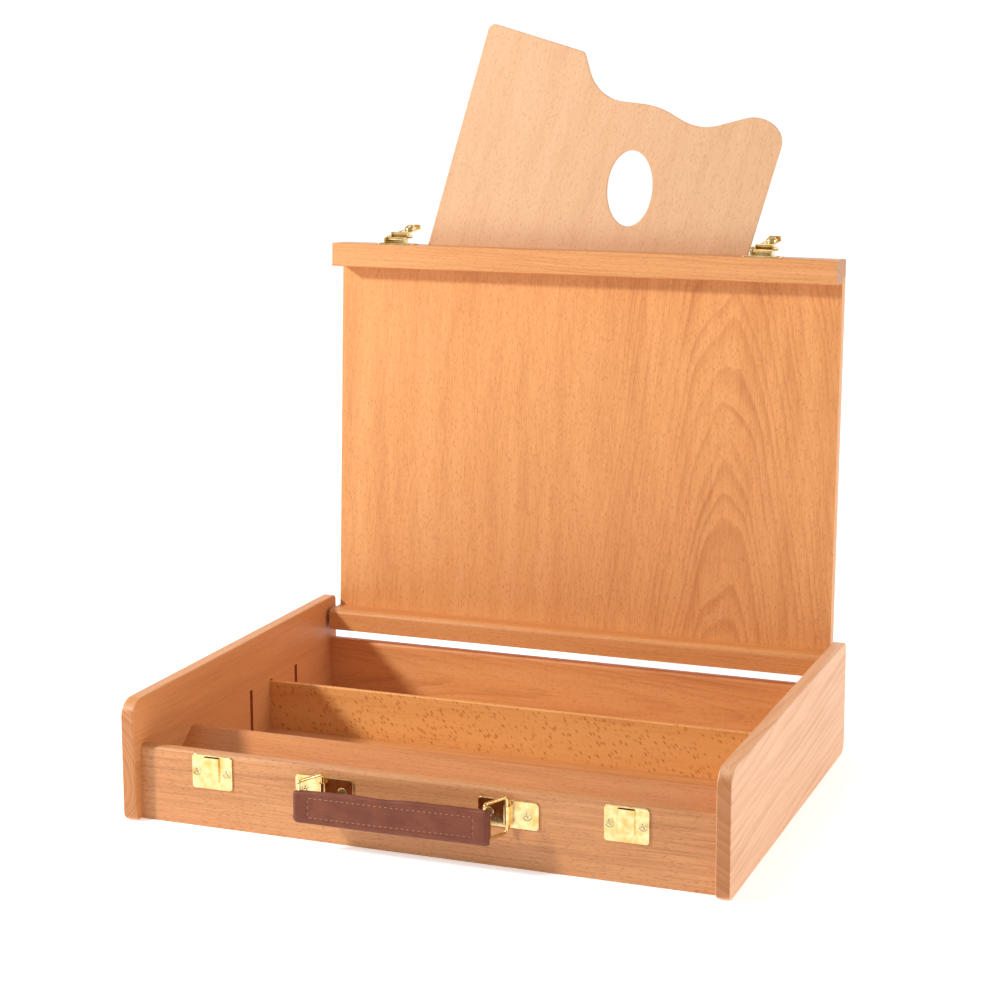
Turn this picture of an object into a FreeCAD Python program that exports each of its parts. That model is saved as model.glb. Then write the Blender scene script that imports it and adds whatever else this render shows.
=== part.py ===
import FreeCAD, Part

import math
import os
import re

import Sketcher

# Table-top sketch-box easel in beech: an open case with dividers, a lid that swings up between
# the two side boards and holds a palette in a pocket, two draw catches and a leather handle.
# Millimetres. X runs along the front, Y from front to back, Z up. The origin is the middle of
# the front wall's underside, which the case stands on. All sizes stand in the sheet "Sizes".

SIZES = {
    # case
    "case_width": 440, "case_depth": 326, "case_height": 87, "side_thickness": 10,
    "side_front_top_radius": 13, "side_front_foot_radius": 6,
    "side_back_top_radius": 4, "side_back_foot_radius": 9, "side_edge_radius": 1.2,
    "wall_thickness": 9.5, "wall_recess": 9.2, "wall_height": 53.6, "back_wall_height": 52,
    "wall_edge_radius": 3,
    "divider_edge_radius": 0.8,
    "base_thickness": 4, "base_lift": 4, "base_groove": 4,
    "dowel_radius": 3, "dowel_length": 22, "dowel_in_side": 7, "dowel_low": 15, "dowel_high": 40,
    # dividers and their grooves, places measured from the front ends of the sides
    "divider_thickness": 4, "divider_top": 46, "divider_groove": 4, "groove_above": 1,
    "first_groove": 174, "middle_groove": 207, "last_groove": 250,
    "tray_front": 28.4, "tray_back": 82, "tray_thickness": 6.4,
    # lid, turned about a pin near its lower end
    "lid_thickness": 31, "lid_side_gap": 3, "lid_gap": 0.3, "lid_lean": 3.1,
    "pivot_inset": 6, "pivot_depth": 14, "pivot_radius": 2.5, "pivot_in_side": 7.5,
    "pivot_in_rail": 18,
    "foot_rail_height": 16.8, "head_rail_height": 18.7, "rail_inner_radius": 4,
    "rail_back_radius": 3, "rail_edge_radius": 1,
    "rail_depth_in_front": 21, "panel_thickness": 3, "pocket_thickness": 3.6,
    "panel_tongue": 5, "pocket_width": 382,
    # palette
    "palette_width": 255, "palette_length": 350, "palette_thickness": 3, "palette_tilt": 16,
    "palette_corner_x": -83, "palette_corner_rise": 176.6,
    "hole_across": 149, "hole_down": 90, "hole_half_length": 29.5, "hole_half_width": 18.5,
    "hole_turn": 11, "palette_edge_radius": 0.6,
    # draw catches on the lid
    "catch_spacing": 301.5, "catch_shift": -2.75, "catch_width": 31, "catch_depth": 15,
    "catch_inset": 1, "plate_thickness": 1.2, "plate_corner_radius": 2.5,
    "catch_screw_spacing": 23, "ear_thickness": 1.2, "ear_depth": 9, "ear_height": 5.9,
    "stop_height": 3.4, "lever_axis_inset": 5, "lever_axis_height": 4.4, "lever_pin_radius": 0.8,
    "lever_width": 14, "lever_shoulder": 22, "lever_neck": 5.2, "lever_tongue": 8.8,
    "lever_length": 34, "lever_sheet": 1.2, "lever_barrel_radius": 1.5, "lever_open": 14,
    "boss_width": 8.6, "boss_length": 9, "boss_height": 3.4, "boss_place": 28,
    "cheek_start": 6, "cheek_length": 4, "cheek_height": 3.6,
    "hook_axis_along": 8, "hook_axis_above": 2.1, "hook_pin_radius": 0.7, "hook_width": 11.4,
    "hook_length": 31, "hook_sheet": 1, "hook_barrel_radius": 1.4, "hook_open": -7,
    "hook_claw": 2.6, "hook_window_start": 3, "hook_window_length": 25.3, "hook_window_width": 9.2,
    # strike plates on the front wall
    "strike_height": 24.5, "strike_drop": 1.2, "keeper_width": 12, "keeper_height": 17,
    "keeper_rise": 3, "keeper_sheet": 1, "keeper_drop": 1.6, "strike_screw_drop": 12,
    "plate_edge_radius": 0.5,
    # screws
    "screw_head_radius": 2.8, "screw_radius": 1.2, "screw_length": 7, "screw_sink": 1.15,
    "screw_slot_width": 0.8, "screw_slot_depth": 0.8, "screw_slot_length": 4,
    "screw_sit": 0.25, "sink_radius": 3.3, "screw_turn": 20,
    # carrying handle
    "handle_spacing": 134, "handle_shift": -1, "handle_height": 37.5,
    "bracket_width": 43, "bracket_height": 19.2, "bracket_screw_spacing": 27,
    "knuckle_height": 12, "knuckle_radius": 2.3, "knuckle_stand": 3.2,
    "ring_wire_radius": 1.15, "ring_reach": 20.7, "ring_height": 26.8, "ring_corner_radius": 2.2,
    "ring_turn": 23.5,
    "strap_height": 24.3, "strap_thickness": 6, "strap_end_radius": 4, "strap_drop": 3.8,
    "strap_lean": 0.7, "strap_slot_reach": 10.5,
    # clearances
    "groove_clearance": 0.15, "running_clearance": 0.06, "side_clearance": 0.3,
    "hook_clearance": 0.15, "screw_clearance": 0.05, "slot_clearance": 0.3,
}

document = FreeCAD.newDocument("sketch_box_easel")
sheet = document.addObject("Spreadsheet::Sheet", "Sizes")
for row, (alias, number) in enumerate(SIZES.items(), 1):
    sheet.set(f"A{row}", alias)
    sheet.set(f"B{row}", str(number))
    sheet.setAlias(f"B{row}", alias)
document.recompute()

size = {alias: float(sheet.get(alias)) for alias in SIZES}
pieces = []


# ---- helpers ---------------------------------------------------------------------------------

def bound(expression):
    """An expression over the sheet's names: every word with an underscore is a cell."""
    return re.sub(r"[a-z]+(?:_[a-z]+)+", lambda word: "Sizes." + word.group(0), expression)


def body(label, placement=None):
    made = document.addObject("PartDesign::Body", label)
    made.Label = label
    if placement:
        made.Placement = placement
    pieces.append(made)
    return made


# For each base plane: the sign of its normal along the axis that it stands on
NORMAL = {"XY_Plane": 1, "XZ_Plane": -1, "YZ_Plane": 1}


def sketch_on(owner, plane, start):
    """A sketch on one of the body's own origin planes, moved to `start` along its axis."""
    made = owner.newObject("Sketcher::SketchObject", owner.Label + "_sketch")
    base = next(item for item in owner.Origin.OriginFeatures if item.Role == plane)
    made.AttachmentSupport = (base, "")
    made.MapMode = "FlatFace"
    sign = "" if NORMAL[plane] > 0 else "-"
    made.setExpression("AttachmentOffset.Base.z", bound(f"{sign}({start})"))
    return made


def fix(sketch, geometry, point, across, up):
    for kind, expression in (("DistanceX", across), ("DistanceY", up)):
        index = sketch.addConstraint(Sketcher.Constraint(kind, -1, 1, geometry, point, 1.0))
        sketch.setExpression(f"Constraints[{index}]", bound(expression))


def polygon(sketch, corners):
    """A closed outline whose corners are pairs of expressions."""
    count = len(corners)
    turn = 2 * math.pi / count
    spots = [FreeCAD.Vector(math.cos(turn * k), math.sin(turn * k), 0) for k in range(count)]
    lines = [sketch.addGeometry(Part.LineSegment(spots[k], spots[(k + 1) % count]))
             for k in range(count)]
    for k, (across, up) in enumerate(corners):
        sketch.addConstraint(Sketcher.Constraint("Coincident", lines[k - 1], 2, lines[k], 1))
        fix(sketch, lines[k], 1, across, up)


def circles(sketch, centres, radius):
    for across, up in centres:
        index = sketch.addGeometry(Part.Circle(FreeCAD.Vector(0, 0, 0), FreeCAD.Vector(0, 0, 1), 1))
        fix(sketch, index, 3, across, up)
        round_one = sketch.addConstraint(Sketcher.Constraint("Radius", index, 1.0))
        sketch.setExpression(f"Constraints[{round_one}]", bound(radius))


def rectangle(left, right, low, high):
    return [(left, low), (right, low), (right, high), (left, high)]


def feature(owner, kind, plane, start, length, corners=None, centres=None, radius=None):
    """Adds (Pad) or cuts (Pocket) from `start` over `length` along the plane's own axis."""
    outline = sketch_on(owner, plane, start)
    if corners:
        polygon(outline, corners)
    if centres:
        circles(outline, centres, radius)
    made = owner.newObject("PartDesign::" + kind, owner.Label + "_" + kind.lower())
    made.Profile = outline
    made.setExpression("Length", bound(length))
    made.Reversed = (NORMAL[plane] < 0) == (kind == "Pad")
    document.recompute()
    return made


def pad(owner, *place, **shape):
    return feature(owner, "Pad", *place, **shape)


def pocket(owner, *place, **shape):
    before = owner.Shape.Volume
    made = feature(owner, "Pocket", *place, **shape)
    if owner.Shape.Volume > before - 1e-6:
        raise RuntimeError(f"a pocket of {owner.Label} cuts nothing")
    return made


def fillet(owner, radius, wanted):
    """Rounds the edges of the body for which wanted(edge middle, edge direction) is true."""
    names = []
    solid = owner.Tip
    for number, edge in enumerate(solid.Shape.Edges, 1):
        middle = edge.valueAt((edge.FirstParameter + edge.LastParameter) / 2)
        along = edge.tangentAt((edge.FirstParameter + edge.LastParameter) / 2)
        if wanted(middle, along):
            names.append(f"Edge{number}")
    if not names:
        raise RuntimeError(f"no edge of {owner.Label} to round")
    made = owner.newObject("PartDesign::Fillet", owner.Label + "_round")
    made.Base = (solid, names)
    made.setExpression("Radius", bound(radius))
    document.recompute()


def along_x(direction):
    return abs(direction.x) > 0.99


def near(number, goal):
    return abs(number - goal) < 1e-4


def solid_piece(label, shape, placement=None):
    made = document.addObject("Part::Feature", label)
    made.Label = label
    made.Shape = shape
    if placement:
        made.Placement = placement.multiply(shape.Placement)
    pieces.append(made)
    return made


def turned(axis, degrees, base):
    return FreeCAD.Placement(FreeCAD.Vector(*base), FreeCAD.Rotation(FreeCAD.Vector(*axis), degrees))


def moved(x, y, z):
    return FreeCAD.Placement(FreeCAD.Vector(x, y, z), FreeCAD.Rotation())


# ---- places that several pieces share --------------------------------------------------------

FRONT = "(-wall_thickness/2 - wall_recess)"
WALL_FRONT = "-wall_thickness/2"
BACK = "(case_depth - wall_thickness/2 - wall_recess)"
BASE_TOP = "base_lift + base_thickness"
INNER = "(case_width/2 - side_thickness)"
LID_HALF = "(case_width/2 - side_thickness - lid_side_gap)"
# heights in the lid's own frame, whose origin is the pivot: z along the lid, y to its back
LID_FOOT = "-pivot_inset"
LID_HEAD = "(case_depth - wall_recess - pivot_inset)"
LID_FRONT = "-pivot_depth"
LID_BACK = "(lid_thickness - pivot_depth)"
PANEL_FRONT = "(rail_depth_in_front - pivot_depth)"
POCKET_FRONT = "(rail_depth_in_front - pivot_depth + panel_thickness)"
POCKET_BACK = "(rail_depth_in_front - pivot_depth + panel_thickness + pocket_thickness)"
FOOT_RAIL_TOP = "(foot_rail_height - pivot_inset)"
HEAD_RAIL_FOOT = "(case_depth - wall_recess - pivot_inset - head_rail_height)"

pivot_height = size["wall_height"] + size["lid_gap"] + size["pivot_depth"]
wall_front = -size["wall_thickness"] / 2
case_front = wall_front - size["wall_recess"]
case_back = case_front + size["case_depth"]
pivot_back = case_back - size["pivot_inset"]
lid_place = turned((-1, 0, 0), size["lid_lean"], (0, pivot_back, pivot_height))
lid_head = size["case_depth"] - size["wall_recess"] - size["pivot_inset"]

SIDES = {"left": -1, "right": 1}
WALL_MIDDLES = (f"{WALL_FRONT} + wall_thickness/2", f"{BACK} - wall_thickness/2")
DOWEL_SPOTS = [(y, z) for y in WALL_MIDDLES for z in ("dowel_low", "dowel_high")]


# ---- case ------------------------------------------------------------------------------------

def side_board(side):
    """Upright side with rounded corners, grooves for the base and dividers, and blind holes."""
    sign = SIDES[side]
    board = body(f"{side}_side")
    outer = "-case_width/2" if sign < 0 else "case_width/2 - side_thickness"
    pad(board, "YZ_Plane", outer, "side_thickness",
        corners=rectangle(FRONT, BACK, "0", "case_height"))
    high = size["case_height"]
    for radius, y, z in (("side_front_top_radius", case_front, high),
                         ("side_front_foot_radius", case_front, 0),
                         ("side_back_top_radius", case_back, high),
                         ("side_back_foot_radius", case_back, 0)):
        fillet(board, radius, lambda spot, along, y=y, z=z:
               along_x(along) and near(spot.y, y) and near(spot.z, z))
    fillet(board, "side_edge_radius", lambda spot, along: not along_x(along))

    def inward(depth):
        return f"-{INNER} - ({depth})" if sign < 0 else INNER

    pocket(board, "YZ_Plane", inward("base_groove"), "base_groove",
           corners=rectangle(f"{WALL_FRONT} + wall_thickness - base_groove",
                             f"{BACK} - wall_thickness + base_groove",
                             "base_lift", BASE_TOP))
    for groove in ("first_groove", "middle_groove", "last_groove"):
        half = "divider_thickness/2 + groove_clearance"
        pocket(board, "YZ_Plane", inward("divider_groove"), "divider_groove",
               corners=rectangle(f"{FRONT} + {groove} - ({half})", f"{FRONT} + {groove} + {half}",
                                 BASE_TOP, "divider_top + groove_above"))
    pocket(board, "YZ_Plane", inward("divider_groove"), "divider_groove",
           corners=[(f"{FRONT} + tray_front - groove_clearance", BASE_TOP),
                    (f"{FRONT} + tray_front + tray_thickness + groove_clearance", BASE_TOP),
                    (f"{FRONT} + tray_back + tray_thickness + groove_clearance", "divider_top"),
                    (f"{FRONT} + tray_back - groove_clearance", "divider_top")])
    pocket(board, "YZ_Plane", inward("pivot_in_side"), "pivot_in_side",
           centres=[(f"{BACK} - pivot_inset", "wall_height + lid_gap + pivot_depth")],
           radius="pivot_radius + running_clearance")
    pocket(board, "YZ_Plane", inward("dowel_in_side"), "dowel_in_side",
           centres=DOWEL_SPOTS, radius="dowel_radius")


def wall(label, front, middle, height):
    """Front or back wall between the sides, its top edges softened, grooved for the base."""
    made = body(label)
    pad(made, "YZ_Plane", f"-{INNER}", f"2*{INNER}",
        corners=rectangle(front, f"{front} + wall_thickness", "0", height))
    fillet(made, "wall_edge_radius", lambda spot, along:
           along_x(along) and near(spot.z, size[height]))
    groove = (f"{front} + wall_thickness - base_groove" if label == "front_wall" else front)
    pocket(made, "YZ_Plane", f"-{INNER}", f"2*{INNER}",
           corners=rectangle(groove, f"{groove} + base_groove", "base_lift", BASE_TOP))
    blind = "(dowel_length - dowel_in_side)"
    for start in (f"-{INNER}", f"{INNER} - {blind}"):
        pocket(made, "YZ_Plane", start, blind,
               centres=[(middle, "dowel_low"), (middle, "dowel_high")], radius="dowel_radius")
    return made


for side in SIDES:
    side_board(side)

front_wall = wall("front_wall", WALL_FRONT, WALL_MIDDLES[0], "wall_height")
wall("back_wall", f"{BACK} - wall_thickness", WALL_MIDDLES[1], "back_wall_height")

base_panel = body("base_panel")
pad(base_panel, "XY_Plane", "base_lift", "base_thickness",
    corners=rectangle(f"-{INNER} - base_groove + groove_clearance",
                      f"{INNER} + base_groove - groove_clearance",
                      f"{WALL_FRONT} + wall_thickness - base_groove + groove_clearance",
                      f"{BACK} - wall_thickness + base_groove - groove_clearance"))

DIVIDER_HALF = f"({INNER} + divider_groove - groove_clearance)"
middle_divider = body("middle_divider")
pad(middle_divider, "YZ_Plane", f"-{DIVIDER_HALF}", f"2*{DIVIDER_HALF}",
    corners=rectangle(f"{FRONT} + middle_groove - divider_thickness/2",
                      f"{FRONT} + middle_groove + divider_thickness/2", BASE_TOP, "divider_top"))
fillet(middle_divider, "divider_edge_radius", lambda spot, along:
       along_x(along) and near(spot.z, size["divider_top"]))

sloping_divider = body("sloping_divider")
pad(sloping_divider, "YZ_Plane", f"-{DIVIDER_HALF}", f"2*{DIVIDER_HALF}",
    corners=[(f"{FRONT} + tray_front", BASE_TOP),
             (f"{FRONT} + tray_front + tray_thickness", BASE_TOP),
             (f"{FRONT} + tray_back + tray_thickness", "divider_top"),
             (f"{FRONT} + tray_back", "divider_top")])
fillet(sloping_divider, "divider_edge_radius", lambda spot, along:
       along_x(along) and near(spot.z, size["divider_top"]))


def rod(radius, length, base, direction):
    return Part.makeCylinder(radius, length, FreeCAD.Vector(*base), FreeCAD.Vector(*direction))


def dowels():
    inner = size["case_width"] / 2 - size["side_thickness"]
    middles = (wall_front + size["wall_thickness"] / 2, case_back - size["wall_thickness"] / 2)
    rods = []
    for sign in SIDES.values():
        start = sign * (inner + size["dowel_in_side"])
        for y in middles:
            for z in (size["dowel_low"], size["dowel_high"]):
                rods.append(rod(size["dowel_radius"], size["dowel_length"], (start, y, z),
                                (-sign, 0, 0)))
    return Part.makeCompound(rods)


solid_piece("wall_dowels", dowels())


# ---- lid -------------------------------------------------------------------------------------

def lid_rail(label, low, high, tongue_low, board_low):
    """A rail right across the lid: grooved for the panel and rebated behind for the back board."""
    rail = body(label, lid_place)
    pad(rail, "YZ_Plane", f"-{LID_HALF}", f"2*{LID_HALF}",
        corners=rectangle(LID_FRONT, LID_BACK, low, high))
    pocket(rail, "YZ_Plane", f"-{LID_HALF}", f"2*{LID_HALF}",
           corners=rectangle(PANEL_FRONT, POCKET_FRONT, tongue_low, f"{tongue_low} + panel_tongue"))
    pocket(rail, "YZ_Plane", f"-{LID_HALF}", f"2*{LID_HALF}",
           corners=rectangle(POCKET_BACK, LID_BACK, board_low, f"{board_low} + panel_tongue"))
    return rail


def at_corner(y, z):
    return lambda spot, along: along_x(along) and near(spot.y, y) and near(spot.z, z)


inner_face = -size["pivot_depth"]
outer_face = size["lid_thickness"] - size["pivot_depth"]
foot_rail_top = size["foot_rail_height"] - size["pivot_inset"]
head_rail_foot = lid_head - size["head_rail_height"]

foot_rail = lid_rail("lid_foot_rail", LID_FOOT, FOOT_RAIL_TOP,
                     f"{FOOT_RAIL_TOP} - panel_tongue", f"{FOOT_RAIL_TOP} - panel_tongue")
fillet(foot_rail, "rail_inner_radius", at_corner(inner_face, foot_rail_top))
fillet(foot_rail, "rail_back_radius", at_corner(outer_face, -size["pivot_inset"]))
for start in (f"-{LID_HALF}", f"{LID_HALF} - pivot_in_rail"):
    pocket(foot_rail, "YZ_Plane", start, "pivot_in_rail", centres=[("0", "0")],
           radius="pivot_radius")

head_rail = lid_rail("lid_head_rail", HEAD_RAIL_FOOT, LID_HEAD, HEAD_RAIL_FOOT, HEAD_RAIL_FOOT)
fillet(head_rail, "rail_back_radius", at_corner(outer_face, lid_head))
fillet(head_rail, "rail_edge_radius", lambda spot, along:
       along_x(along) and near(spot.y, inner_face))
pocket(head_rail, "XY_Plane", HEAD_RAIL_FOOT, "head_rail_height",
       corners=rectangle("-pocket_width/2", "pocket_width/2", POCKET_FRONT, POCKET_BACK))

BETWEEN_LOW = f"({FOOT_RAIL_TOP} - panel_tongue)"
BETWEEN_HIGH = f"({HEAD_RAIL_FOOT} + panel_tongue)"
for label, near_face, far_face in (("lid_panel", PANEL_FRONT, POCKET_FRONT),
                                   ("lid_back_board", POCKET_BACK, LID_BACK)):
    board = body(label, lid_place)
    pad(board, "XZ_Plane", near_face, f"{far_face} - {near_face}",
        corners=rectangle(f"-{LID_HALF}", LID_HALF, BETWEEN_LOW, BETWEEN_HIGH))

for side, sign in SIDES.items():
    strip = body(f"pocket_strip_{side}", lid_place)
    edges = (f"-{LID_HALF}", "-pocket_width/2") if sign < 0 else ("pocket_width/2", LID_HALF)
    pad(strip, "XZ_Plane", POCKET_FRONT, "pocket_thickness",
        corners=rectangle(*edges, FOOT_RAIL_TOP, HEAD_RAIL_FOOT))


def pivot_pins():
    half = size["case_width"] / 2 - size["side_thickness"] - size["lid_side_gap"]
    length = (size["pivot_in_rail"] + size["lid_side_gap"] + size["pivot_in_side"]
              - size["side_clearance"])
    return Part.makeCompound([
        rod(size["pivot_radius"], length, (sign * (half - size["pivot_in_rail"]), 0, 0),
            (sign, 0, 0)) for sign in SIDES.values()])


solid_piece("lid_pivot_pins", pivot_pins(), lid_place)


# ---- palette ---------------------------------------------------------------------------------

def rounded_outline(corners):
    """Closed wire through corners (x, y, radius): straight runs joined by tangent arcs."""
    spots = [(FreeCAD.Vector(x, y, 0), radius) for x, y, radius in corners]
    arcs = []
    for k, (corner, radius) in enumerate(spots):
        back = (spots[k - 1][0] - corner).normalize()
        ahead = (spots[(k + 1) % len(spots)][0] - corner).normalize()
        half = back.getAngle(ahead) / 2
        reach = radius / math.tan(half)
        middle = corner + (back + ahead).normalize() * (radius / math.sin(half) - radius)
        arcs.append(Part.Arc(corner + back * reach, middle, corner + ahead * reach).toShape())
    edges = []
    for k, arc in enumerate(arcs):
        start = arcs[k - 1].Vertexes[-1].Point
        end = arc.Vertexes[0].Point
        edges += [Part.makeLine(start, end), arc]
    return Part.Wire(edges)


def palette():
    """Flat board with a wavy top edge and an oval thumb hole; its top left corner is (0, 0)."""
    wide, long = size["palette_width"], size["palette_length"]
    wave = [(wide, -15, 16), (wide - 22, -5, 25), (wide - 66, -31.5, 41), (152, -22.5, 60),
            (103, -31.5, 32), (82.5, 0, 5)]
    corners = [(0, 0, 6), (0, -long, 10), (wide, -long, 10)] + wave
    board = Part.Face(rounded_outline(corners)).extrude(
        FreeCAD.Vector(0, 0, size["palette_thickness"]))
    oval = Part.Ellipse(FreeCAD.Vector(0, 0, 0), size["hole_half_length"], size["hole_half_width"])
    hole = Part.Face(Part.Wire(oval.toShape())).extrude(
        FreeCAD.Vector(0, 0, size["palette_thickness"]))
    hole.rotate(FreeCAD.Vector(0, 0, 0), FreeCAD.Vector(0, 0, 1), 90 + size["hole_turn"])
    hole.translate(FreeCAD.Vector(size["hole_across"], -size["hole_down"], 0))
    board = board.cut(hole)
    rims = [edge for edge in board.Edges
            if near(edge.BoundBox.ZMin, edge.BoundBox.ZMax)]
    return board.makeFillet(size["palette_edge_radius"], rims)


# the palette stands turned in its pocket, midway between the panel and the back board
pocket_front = size["rail_depth_in_front"] - size["pivot_depth"] + size["panel_thickness"]
palette_back = pocket_front + (size["pocket_thickness"] + size["palette_thickness"]) / 2
upright = turned((1, 0, 0), 90, (size["palette_corner_x"], palette_back,
                                 lid_head + size["palette_corner_rise"]))
tilt = turned((0, 0, 1), -size["palette_tilt"], (0, 0, 0))
solid_piece("palette", palette(), lid_place.multiply(upright).multiply(tilt))


# ---- screws ----------------------------------------------------------------------------------

def screw():
    """Countersunk screw with a cross slot; z = 0 is the plate's face, and its shank points down."""
    top, foot = -size["screw_sit"], -size["screw_length"]
    head = Part.makeCone(size["screw_radius"], size["screw_head_radius"],
                         size["screw_sink"] - size["screw_sit"],
                         FreeCAD.Vector(0, 0, -size["screw_sink"]))
    shank = rod(size["screw_radius"] - size["screw_clearance"], -size["screw_sink"] - foot,
                (0, 0, foot), (0, 0, 1))
    whole = head.fuse(shank)
    for turn in (size["screw_turn"], size["screw_turn"] + 90):
        slot = Part.makeBox(size["screw_slot_length"], size["screw_slot_width"],
                            size["screw_slot_depth"],
                            FreeCAD.Vector(-size["screw_slot_length"] / 2,
                                           -size["screw_slot_width"] / 2,
                                           top - size["screw_slot_depth"]))
        slot.rotate(FreeCAD.Vector(0, 0, 0), FreeCAD.Vector(0, 0, 1), turn)
        whole = whole.cut(slot)
    return whole


def screw_hole():
    """What a screw takes out of the plate and the wood: its countersink and its pilot hole."""
    sink = Part.makeCone(size["screw_radius"], size["sink_radius"], size["screw_sink"],
                         FreeCAD.Vector(0, 0, -size["screw_sink"]))
    return sink.fuse(rod(size["screw_radius"], size["screw_length"],
                         (0, 0, -size["screw_length"]), (0, 0, 1)))


def drill(piece, placements):
    """Cuts screw holes in a finished shape."""
    shape = piece
    for placement in placements:
        hole = screw_hole()
        hole.Placement = placement
        shape = shape.cut(hole)
    return shape


def screws(label, placements, outer=None):
    made = []
    for placement in placements:
        one = screw()
        one.Placement = placement
        made.append(one)
    solid_piece(label, Part.makeCompound(made), outer)


# ---- draw catches ----------------------------------------------------------------------------

def catch_x(side):
    return size["catch_shift"] + SIDES[side] * size["catch_spacing"] / 2


def rounded_plate(width, depth, radius):
    """Sheet plate centred on x = 0, from y = 0 to `depth`, its corners and front edge rounded."""
    thick = size["plate_thickness"]
    plate = Part.makeBox(width, depth, thick, FreeCAD.Vector(-width / 2, 0, 0))
    plate = plate.makeFillet(radius, [edge for edge in plate.Edges
                                      if near(edge.BoundBox.ZLength, thick)])
    return plate.makeFillet(size["plate_edge_radius"], [edge for edge in plate.Edges
                                                        if near(edge.BoundBox.ZMin, thick)])


def catch_screw_places():
    """On the catch's own plate: x across, y to the back of the lid, z out of the rail."""
    return [moved(sign * size["catch_screw_spacing"] / 2, size["catch_depth"] / 2,
                  size["plate_thickness"]) for sign in SIDES.values()]


def side_pair(start, thick, length, high, foot_y, foot_z):
    """Two upright sheets facing each other, `start` from the middle on either side."""
    return [Part.makeBox(thick, length, high,
                         FreeCAD.Vector(start if sign > 0 else -start - thick, foot_y, foot_z))
            for sign in SIDES.values()]


def catch_base():
    """Screwed plate with two ears that carry the lever's pin, and a low stop between them."""
    plate = rounded_plate(size["catch_width"], size["catch_depth"], size["plate_corner_radius"])
    axis_y, axis_z = size["lever_axis_inset"], size["lever_axis_height"]
    inner = size["lever_width"] / 2 + size["side_clearance"]
    foot_y = axis_y - size["ear_depth"] / 2
    for ear in side_pair(inner, size["ear_thickness"], size["ear_depth"], size["ear_height"],
                         foot_y, 0):
        plate = plate.fuse(ear.makeFillet(size["ear_height"] - axis_z, [
            edge for edge in ear.Edges if near(edge.BoundBox.XLength, size["ear_thickness"])
            and near(edge.BoundBox.ZMin, size["ear_height"])]))
    plate = plate.fuse(Part.makeBox(2 * inner, size["ear_thickness"], size["stop_height"],
                                    FreeCAD.Vector(-inner, foot_y + size["ear_depth"]
                                                   - size["ear_thickness"], 0)))
    reach = inner + size["ear_thickness"]
    plate = plate.cut(rod(size["lever_pin_radius"], 2 * reach, (-reach, axis_y, axis_z), (1, 0, 0)))
    return drill(plate.removeSplitter(), catch_screw_places())


def barrel(radius, width, bore):
    """A knuckle on the x axis and the pin hole through it."""
    past = 1
    return (rod(radius, width, (-width / 2, 0, 0), (1, 0, 0)),
            rod(bore, width + 2 * past, (-width / 2 - past, 0, 0), (1, 0, 0)))


def ellipsoid(width, length, high, y, z):
    ball = Part.makeSphere(1)
    stretch = FreeCAD.Matrix()
    stretch.scale(width / 2, length / 2, high)
    ball = ball.transformGeometry(stretch)
    ball.translate(FreeCAD.Vector(0, y, z))
    return ball


def lever_plate():
    """Sheet outline: a neck between the ears, wide shoulders, then a tongue with a round end."""
    neck, shoulder, tongue = (size[name] / 2 for name in ("lever_width", "lever_shoulder",
                                                         "lever_tongue"))
    start, long = size["lever_neck"], size["lever_length"]
    half = [(neck, 0, 0.3), (neck, start, 0.3), (shoulder, start, 1.5), (shoulder, 9.5, 2.5),
            (tongue, 14.5, 1.2), (tongue, long, 4)]
    corners = half + [(-x, y, radius) for x, y, radius in reversed(half)]
    face = Part.Face(rounded_outline(corners))
    face.translate(FreeCAD.Vector(0, 0, -size["lever_sheet"] / 2))
    return face.extrude(FreeCAD.Vector(0, 0, size["lever_sheet"]))


def catch_lever():
    """Lever with a knuckle at its root, two cheeks for the hook and a dished oval thumb boss."""
    surface = size["lever_sheet"] / 2
    knuckle, bore = barrel(size["lever_barrel_radius"], size["lever_width"],
                           size["lever_pin_radius"] + size["running_clearance"])
    shape = lever_plate().fuse(knuckle)
    inner = size["hook_width"] / 2 + size["hook_clearance"]
    for cheek in side_pair(inner, size["ear_thickness"], size["cheek_length"],
                           size["cheek_height"], size["cheek_start"], 0):
        shape = shape.fuse(cheek.makeFillet(size["cheek_length"] / 3, [
            edge for edge in cheek.Edges if near(edge.BoundBox.XLength, size["ear_thickness"])
            and near(edge.BoundBox.ZMin, size["cheek_height"])]))
    wide, long, high = size["boss_width"], size["boss_length"], size["boss_height"]
    boss = ellipsoid(wide, long, high, size["boss_place"], surface)
    above = Part.makeBox(wide, long, high,
                         FreeCAD.Vector(-wide / 2, size["boss_place"] - long / 2, surface - 0.1))
    dish = ellipsoid(0.7 * wide, 0.66 * long, 0.55 * high, size["boss_place"], surface + high)
    shape = shape.fuse(boss.common(above)).cut(dish)
    pin_reach = inner + size["ear_thickness"]
    pin_hole = rod(size["hook_pin_radius"], 2 * pin_reach,
                   (-pin_reach, size["hook_axis_along"], size["hook_axis_above"]), (1, 0, 0))
    return shape.cut(bore).cut(pin_hole).removeSplitter()


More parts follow.
